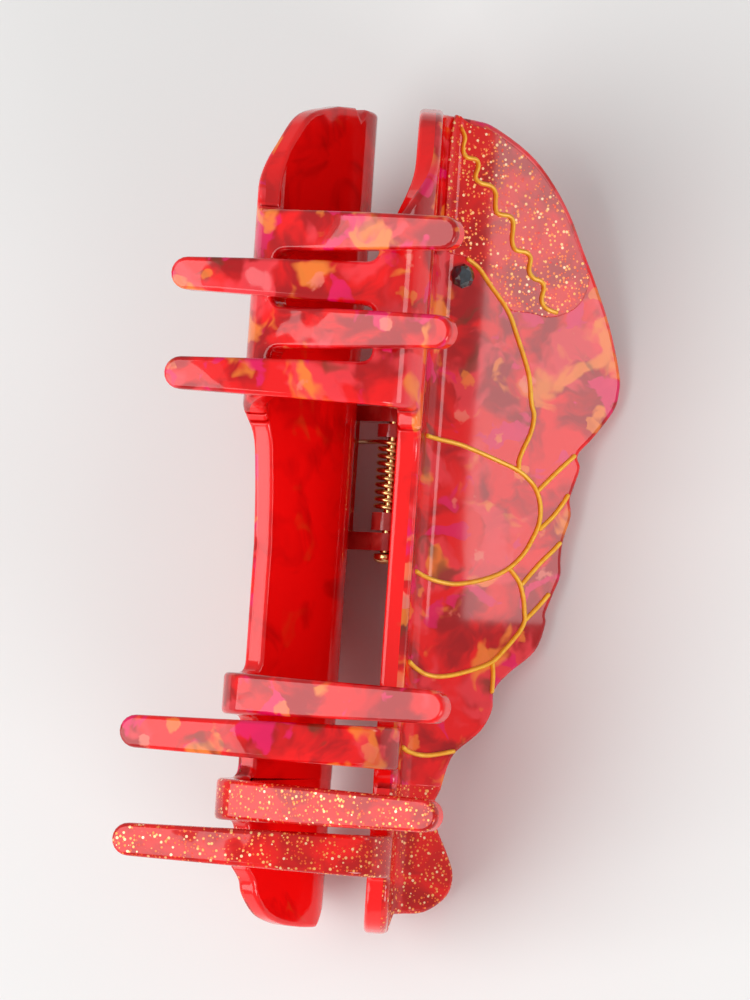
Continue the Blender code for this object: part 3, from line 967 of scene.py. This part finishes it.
@dataclass(frozen=True)
class EyeStone:
    """A brilliant-cut flat-back stone on the handle."""

    place: Flat = (1.3, 32.1)
    facets: int = 8
    radius: float = 1.6
    table_radius: float = 0.85
    girdle: float = 0.3
    crown: float = 0.75
    crown_swell: float = 0.12
    height: float = 1.15
    base: float = 1.5

    def solid(self, side: int) -> Solid:
        """Closed faceted mesh of the stone on one half."""
        made = bmesh.new()
        crown_radius = 0.5 * (self.radius + self.table_radius) + self.crown_swell
        levels = (
            (self.radius, 0.0, 0.0), (self.radius, self.girdle, 0.0),
            (crown_radius, self.crown, 0.5), (self.table_radius, self.height, 0.0),
        )
        s, y = on_handle(self.place)
        rings = []
        for radius, height, phase in levels:
            ring = []
            for facet in range(self.facets):
                turn = 2 * math.pi * (facet + phase) / self.facets
                along, place = s + radius * math.cos(turn), y + radius * math.sin(turn)
                spot = SECTION.point(along, self.base + height, place, side)
                ring.append(made.verts.new(in_row(spot)))
            rings.append(ring)
        bridge(made, rings[0], rings[1])
        for ahead, (lower, upper) in enumerate(zip(rings[1:], rings[2:])):
            for i in range(self.facets):
                j = (i + 1) % self.facets
                made.faces.new((lower[i], lower[j], upper[j] if ahead else upper[i]))
                made.faces.new((upper[i], upper[j], lower[i] if ahead else lower[j]))
        made.faces.new(rings[0])
        made.faces.new(rings[-1])
        return made


@dataclass(frozen=True)
class LobsterHalf:
    """One bent half with its glitter tail, claw, gold lines and eye."""

    half: Half
    tooth_places: tuple[float, ...]
    seam: float = -32.7
    seam_lap: float = 1.6
    tail_inset: float = 0.04
    edge: float = 0.6
    lining_top: float = 0.6
    tooth_wave_size: float = 8.0
    tooth_wave_depth: float = 0.9
    claw_low: float = 1.3
    claw_high: float = 1.85
    claw_edge: float = 0.12
    claw_steps: int = 4
    line_sink: float = 0.04
    eye_sink: float = 0.02
    block_weld: float = 0.001
    block_flat: float = math.radians(1.0)
    block_round: float = 0.2
    block_corner: float = math.radians(40.0)
    claw: Points = (
        (-2.4, 51.5), (1.5, 51.4), (4.5, 50.7), (9.9, 47.3), (14.2, 42.2), (17.4, 36.1),
        (18.6, 33.6), (18.2, 31.2), (16.8, 29.2), (13.8, 27.9), (11.0, 28.2), (8.2, 28.3),
        (6.9, 29.5), (5.2, 31.4), (3.5, 33.4), (1.6, 34.6), (-2.4, 36.6),
    )
    claw_line: Points = (
        (-0.7, 51.0), (-0.1, 50.4), (0.2, 49.6), (0.0, 48.3), (0.6, 47.3), (1.9, 47.1),
        (2.3, 46.3), (2.0, 44.9), (2.7, 44.2), (4.2, 43.9), (4.9, 43.0), (5.0, 41.4), (5.4, 40.5),
        (7.0, 40.3), (7.6, 39.4), (7.6, 37.2), (8.2, 36.1), (9.6, 35.9), (10.3, 35.2),
        (10.2, 33.6), (10.9, 32.7), (11.9, 32.4), (12.4, 31.6), (12.2, 30.0), (12.9, 29.0),
        (14.6, 28.5),
    )
    shell_line: Points = (
        (1.7, 34.5), (3.5, 33.3), (5.2, 31.3), (7.0, 29.3), (8.2, 27.6), (9.1, 25.6),
        (11.2, 20.6), (11.9, 16.8), (12.4, 15.1), (12.1, 12.9), (11.3, 10.9), (10.8, 9.4),
        (10.8, 7.9),
    )
    band_lines: tuple[Points, ...] = (
        (
            (-3.6, 11.4), (1.6, 10.8), (4.4, 10.1), (7.8, 9.0), (10.8, 7.9), (12.6, 6.6),
            (13.5, 5.4), (14.1, 3.7), (14.1, 1.5), (13.3, -0.7), (12.2, -2.7), (10.4, -4.6),
            (7.9, -6.0), (4.4, -7.0), (1.5, -7.1), (-4.2, -5.9),
        ),
        (
            (10.4, -4.6), (11.9, -6.3), (12.6, -8.2), (12.9, -10.0), (13.0, -11.2), (12.3, -12.8),
            (10.3, -15.3), (8.7, -16.9), (5.9, -18.1), (2.6, -19.0), (0.0, -18.9), (-4.4, -17.4),
        ),
        ((-4.6, -28.3), (-2.2, -28.9), (1.0, -29.2), (4.8, -28.4)),
    )
    leg_lines: tuple[Points, ...] = (
        ((13.5, 5.4), (15.9, 8.0), (18.5, 10.6)),
        ((14.1, 0.5), (15.9, 2.4), (17.1, 4.1), (17.9, 5.5)),
        ((12.2, -6.7), (14.5, -3.8), (16.3, -1.9), (17.3, -0.7)),
        ((13.0, -11.2), (14.7, -9.3), (16.2, -7.4)),
        ((9.0, -16.8), (9.2, -18.5), (9.2, -20.8)),
    )

    @property
    def face(self) -> float:
        """Distance of the outer face from the sheet's middle."""
        return SECTION.thickness / 2

    def named(self, piece: str) -> str:
        """Name of one of this half's nodes."""
        return f"{self.half.value}_{piece}"

    def add(
        self, piece: str, solid: Solid, finishes: Sequence[Finish],
    ) -> bpy.types.Object:
        """Link one of this half's pieces in place of its node, named without the half."""
        made = add_piece(f"dressed_{self.named(piece)}", solid, finishes, self.half.body)
        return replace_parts(made, self.named(piece))

    def build_sheet(self) -> None:
        """Bend the marbled sheet and the glitter tail."""
        outline = LobsterOutline(self.tooth_places)
        waves = {"wave_size": self.tooth_wave_size, "wave_depth": self.tooth_wave_depth}
        marbled = (MarbledAcetate(), LiningAcetate(), MarbledAcetate("marbled_tooth", **waves))
        glitter = (GlitterAcetate(), LiningAcetate(), GlitterAcetate("glitter_tooth", **waves))
        pieces = (("shell", True, marbled), ("tail_panel", False, glitter))
        for piece, keep_head, finishes in pieces:
            seam = self.seam + (-self.seam_lap if keep_head else self.seam_lap) / 2
            loop = outline.cut(seam, keep_head)
            face = self.face if keep_head else self.face - self.tail_inset
            plate = BentPlate(
                loop, -face, face, self.edge, self.half.side, self.lining_top, outline.flange_edge,
            )
            even_shading(self.add(piece, plate.solid(), finishes))

    def build_claw(self) -> None:
        """Lay the glitter claw and its zigzag line on the handle."""
        loop = tuple(smooth([on_handle(p) for p in self.claw], self.claw_steps, closed=True))
        plate = BentPlate(loop, self.claw_low, self.claw_high, self.claw_edge, self.half.side)
        inlay = GlitterAcetate("glitter_inlay", "glitter_inlay")
        even_shading(self.add("claw_plate", plate.solid(), (inlay,)))
        self.build_line("claw_line", self.claw_line, self.claw_high)

    def build_line(self, piece: str, points: Points, base: float) -> None:
        """Lay one gold line through points of the handle, on a surface base from the middle."""
        line = GoldLine(points, base - self.line_sink)
        self.add(piece, line.solid(self.half.side), (GOLD_PAINT,)).data.shade_smooth()

    def build_lines(self) -> None:
        """Lay the gold lines of the shell, the bands and the legs."""
        self.build_line("shell_line", self.shell_line, self.face)
        for count, points in enumerate(self.band_lines, 1):
            self.build_line(f"band_line_{count}", points, self.face)
        for count, points in enumerate(self.leg_lines, 1):
            self.build_line(f"leg_line_{count}", points, self.face)

    def build_eye(self) -> None:
        """Set the eye stone."""
        stone = EyeStone(base=self.face - self.eye_sink)
        self.add("eye_stone", stone.solid(self.half.side), (BLACK_STONE,))

    def build_hinge_block(self) -> None:
        """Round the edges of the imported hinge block."""
        node = self.named("hinge_block")
        block = bmesh.new()
        block.from_mesh(frame["nodes"][node].data)
        bmesh.ops.remove_doubles(block, verts=block.verts, dist=self.block_weld * METRES)
        bmesh.ops.dissolve_limit(
            block, angle_limit=self.block_flat, verts=block.verts, edges=block.edges,
        )
        made = self.add("hinge_block", block, (HINGE_ACETATE,))
        rounding = made.modifiers.new("rounded_edges", "BEVEL")
        rounding.width = self.block_round * METRES
        rounding.segments = 2
        rounding.limit_method = "ANGLE"
        rounding.angle_limit = self.block_corner
        even_shading(made)

    def build(self) -> None:
        """Build all of the half's pieces."""
        self.build_sheet()
        self.build_claw()
        self.build_lines()
        self.build_eye()
        self.build_hinge_block()


@dataclass(frozen=True)
class SprungHinge:
    """Hinge pin with its caps, and the torsion spring round it."""

    sides: int = 32
    pin_radius: float = 0.8
    pin_chamfer: float = 0.15
    pin_low: float = -3.8
    pin_high: float = 15.4
    cap_gap: float = 0.05
    cap_radius: float = 1.6
    cap_chamfer: float = 0.12
    cap_rim: float = 0.45
    cap_dome: float = 0.9
    dome_steps: int = 6
    wire: float = 0.6
    coil_radius: float = 1.75
    turns: int = 9
    points_per_curl: int = 24
    wire_sides: int = 10
    coil_start: float = 2.0
    coil_end: float = 10.5
    leg_offset: float = -4.0
    leg_reach: float = 6.0
    blend_inset: float = 0.1

    def lathe(self, profile: Sequence[Flat]) -> Solid:
        """Turn a profile round the pin.

        Args:
            profile: Radii and places along the pin, from end to end.

        Returns:
            A closed mesh.
        """
        turns = [2 * math.pi * i / self.sides for i in range(self.sides)]
        rings = []
        for radius, y in profile:
            rings.append([Vector((radius * math.cos(t), y, radius * math.sin(t))) for t in turns])
        return tube(rings)

    def add(self, node: str, profile: Sequence[Flat]) -> None:
        """Link a turned piece of the front half in place of its node."""
        piece = add_piece(f"dressed_{node}", self.lathe(profile), (GOLD_METAL,), Half.FRONT.body)
        even_shading(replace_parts(piece, node))

    def build_pin(self) -> None:
        """Turn the pin and its domed caps."""
        radius, chamfer = self.pin_radius, self.pin_chamfer
        low, high = self.pin_low, self.pin_high
        self.add("hinge_pin", (
            (radius - chamfer, low), (radius, low + chamfer),
            (radius, high - chamfer), (radius - chamfer, high),
        ))
        radius, chamfer = self.cap_radius, self.cap_chamfer
        turns = [math.pi / 2 * i / self.dome_steps for i in range(self.dome_steps)]
        dome = [(radius * math.cos(t), self.cap_rim + self.cap_dome * math.sin(t)) for t in turns]
        rise = [(radius - chamfer, 0.0), (radius, chamfer), *dome]
        for node, seat, way in (("pin_cap_head", high, 1), ("pin_cap_tail", low, -1)):
            start = seat + way * self.cap_gap
            self.add(node, [(wide, start + way * up) for wide, up in rise])

    def leg(self, side: int) -> tuple[Vector, float]:
        """One leg of the spring.

        Args:
            side: Way that the leg's half faces.

        Returns:
            The leg's end on the hinge block, and the turn where it leaves the coil.
        """
        foot = SECTION.point(SECTION.bend_end - self.leg_reach, self.leg_offset, 0.0, side)
        distance = math.hypot(foot.x, foot.z)
        return foot, math.atan2(foot.z, foot.x) + side * math.acos(self.coil_radius / distance)

    def wire_path(self) -> list[Vector]:
        """Points along the wire, from the front leg round the coil to the rear leg."""
        front, start = self.leg(1)
        rear, end = self.leg(-1)
        turn = (end - start) % (2 * math.pi) + 2 * math.pi * self.turns
        steps = round(turn / (2 * math.pi) * self.points_per_curl)
        path = [Vector((front.x, self.coil_start, front.z))]
        for step in range(steps + 1):
            angle, share = start + turn * step / steps, step / steps
            y = self.coil_start + (self.coil_end - self.coil_start) * share
            across = Vector((math.cos(angle), 0.0, math.sin(angle))) * self.coil_radius
            path.append(across + Vector((0.0, y, 0.0)))
        path.append(Vector((rear.x, self.coil_end, rear.z)))
        return path

    def build_spring(self) -> None:
        """Wind the spring as one tube on no body, from the front leg round the coil to the rear
        leg.
        """
        path = self.wire_path()
        turns = [2 * math.pi * k / self.wire_sides for k in range(self.wire_sides)]
        rings = []
        normal = Vector((0.0, 1.0, 0.0))
        for i, spot in enumerate(path):
            ahead = (path[min(i + 1, len(path) - 1)] - path[max(i - 1, 0)]).normalized()
            normal = (normal - ahead * normal.dot(ahead)).normalized()
            beside = ahead.cross(normal)
            ways = [normal * math.cos(t) + beside * math.sin(t) for t in turns]
            rings.append([spot + way * self.wire / 2 for way in ways])
        spring = add_piece("dressed_torsion_spring", tube(rings), (GOLD_METAL,), None)
        spring.data.shade_smooth()
        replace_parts(spring, "torsion_spring")
        inset = self.wire / 2 + self.blend_inset
        start = in_row(Vector((0.0, self.coil_start + inset, 0.0)))
        end = in_row(Vector((0.0, self.coil_end - inset, 0.0)))
        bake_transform(spring)

    def build(self) -> None:
        """Build the hinge's pieces."""
        self.build_pin()
        self.build_spring()


@dataclass(frozen=True)
class SoftLamp:
    """A soft box that shines on the clip: its place, size and power."""

    name: str
    place: tuple[float, float, float]
    size: Flat
    power: float


def add_lamp(name: str, size: Flat, power: float) -> bpy.types.Object:
    """Add a rectangular area lamp.

    Args:
        name: Name of the lamp.
        size: Width and height, in millimetres.
        power: Power, in watts.

    Returns:
        The lamp's object.
    """
    lamp = bpy.data.lights.new(name, "AREA")
    lamp.shape = "RECTANGLE"
    lamp.size, lamp.size_y = (length * METRES for length in size)
    lamp.energy = power
    holder = bpy.data.objects.new(name, lamp)
    bpy.context.collection.objects.link(holder)
    return holder


@dataclass(frozen=True)
class Studio:
    """Pale floor, soft light and the camera at the photograph's angle."""

    floor_half_width: float = 3000.0
    floor_drop: float = 0.02
    camera_distance: float = 700.0
    lean_to_front: float = math.radians(20.36)
    lean_to_tail: float = math.radians(2.08)
    roll: float = math.radians(3.97)
    pixels_per_mm: float = 7.783
    frame_height: float = 1000.0
    shift_right: float = 12.9
    shift_down: float = 24.2
    sensor: float = 36.0
    clip: Flat = (0.01, 20.0)
    world_light: float = 0.45
    card_reach: Flat = (7.0, 34.0)
    card_places: Flat = (-14.0, 60.0)
    card_distance: float = 120.0
    card_power: float = 0.018
    overhead: SoftLamp = SoftLamp("overhead", (-380.0, -150.0, 540.0), (620.0, 900.0), 4.6)
    side_fill: SoftLamp = SoftLamp("side_fill", (520.0, -360.0, 420.0), (300.0, 300.0), 1.6)

    def build_floor(self) -> None:
        """Lay the floor under the clip."""
        half = self.floor_half_width * METRES
        solid = bmesh.new()
        corners = ((-half, -half), (half, -half), (half, half), (-half, half))
        solid.faces.new([solid.verts.new((x, y, -self.floor_drop * METRES)) for x, y in corners])
        mesh = bpy.data.meshes.new("table_top")
        solid.to_mesh(mesh)
        solid.free()
        mesh.materials.append(PaleFloor().material())
        floor = bpy.data.objects.new("table_top", mesh)
        bpy.context.collection.objects.link(floor)

    def camera_axes(self) -> tuple[Vector, Vector, Vector]:
        """Right, up and backward directions of the camera in the clip's frame."""
        back = Vector((
            math.sin(self.lean_to_front) * math.cos(self.lean_to_tail),
            -math.sin(self.lean_to_tail),
            math.cos(self.lean_to_front) * math.cos(self.lean_to_tail),
        ))
        right = Vector((0.0, 1.0, 0.0)).cross(back).normalized()
        up = back.cross(right)
        turned = right * math.cos(self.roll) + up * math.sin(self.roll)
        return turned, up * math.cos(self.roll) - right * math.sin(self.roll), back

    def build_camera(self) -> None:
        """Stand the camera where the photograph was taken from."""
        right, up, back = self.camera_axes()
        aim = (right * -self.shift_right + up * self.shift_down) / self.pixels_per_mm
        lens = bpy.data.cameras.new("photo_camera")
        lens.sensor_width = self.sensor
        lens.lens = self.sensor * self.pixels_per_mm * self.camera_distance / self.frame_height
        lens.clip_start, lens.clip_end = self.clip
        camera = bpy.data.objects.new("photo_camera", lens)
        bpy.context.collection.objects.link(camera)
        turn = TO_ROW.to_3x3() @ Matrix((right, up, back)).transposed()
        place = in_row(aim + back * self.camera_distance)
        camera.matrix_world = Matrix.Translation(place) @ turn.to_4x4()
        bpy.context.scene.camera = camera

    def build_card(self) -> None:
        """Hang the small soft box that the front handle mirrors, with one edge along the claw."""
        _, _, back = self.camera_axes()
        flat = SECTION.point(SECTION.bend_end, 0.0, 0.0, 1)
        facing = (SECTION.point(SECTION.bend_end, 1.0, 0.0, 1) - flat).normalized()
        run = (SECTION.point(SECTION.bend_end - 1.0, 0.0, 0.0, 1) - flat).normalized()
        mirrored = facing * 2 * facing.dot(back) - back
        (near, far), (low, high) = self.card_reach, self.card_places
        seen = flat + run * (near + far) / 2 + Vector((0.0, (low + high) / 2, 0.0))
        holder = add_lamp("claw_card", (far - near, high - low), self.card_power)
        wide = Vector((0.0, 1.0, 0.0)).cross(mirrored).normalized()
        turn = TO_ROW.to_3x3() @ Matrix((wide, mirrored.cross(wide), mirrored)).transposed()
        place = in_row(seen + mirrored * self.card_distance)
        holder.matrix_world = Matrix.Translation(place) @ turn.to_4x4()

    def build_light(self) -> None:
        """Hang the soft lamps and set the even light all round."""
        for lamp in (self.overhead, self.side_fill):
            holder = add_lamp(lamp.name, lamp.size, lamp.power)
            holder.location = in_row(Vector(lamp.place))
            holder.rotation_mode = "QUATERNION"
            aim = in_row(Vector((0, 0, 0))) - holder.location
            holder.rotation_quaternion = aim.to_track_quat("-Z", "Y")
        world = bpy.data.worlds.new("soft_room")
        world.use_nodes = True
        room = world.node_tree.nodes["Background"]
        room.inputs["Color"].default_value = (1.0, 1.0, 1.0, 1.0)
        room.inputs["Strength"].default_value = self.world_light
        bpy.context.scene.world = world
        bpy.context.scene.view_settings.view_transform = "Standard"

    def build(self) -> None:
        """Set the studio up."""
        self.build_floor()
        self.build_camera()
        self.build_card()
        self.build_light()


def main() -> None:
    """Dress the clip and set up its studio."""
    logging.basicConfig(level=logging.INFO)
    LobsterHalf(Half.FRONT, FRONT_TOOTH_PLACES).build()
    LobsterHalf(Half.REAR, REAR_TOOTH_PLACES).build()
    SprungHinge().build()
    Studio().build()


if __name__ == "__main__":
    main()
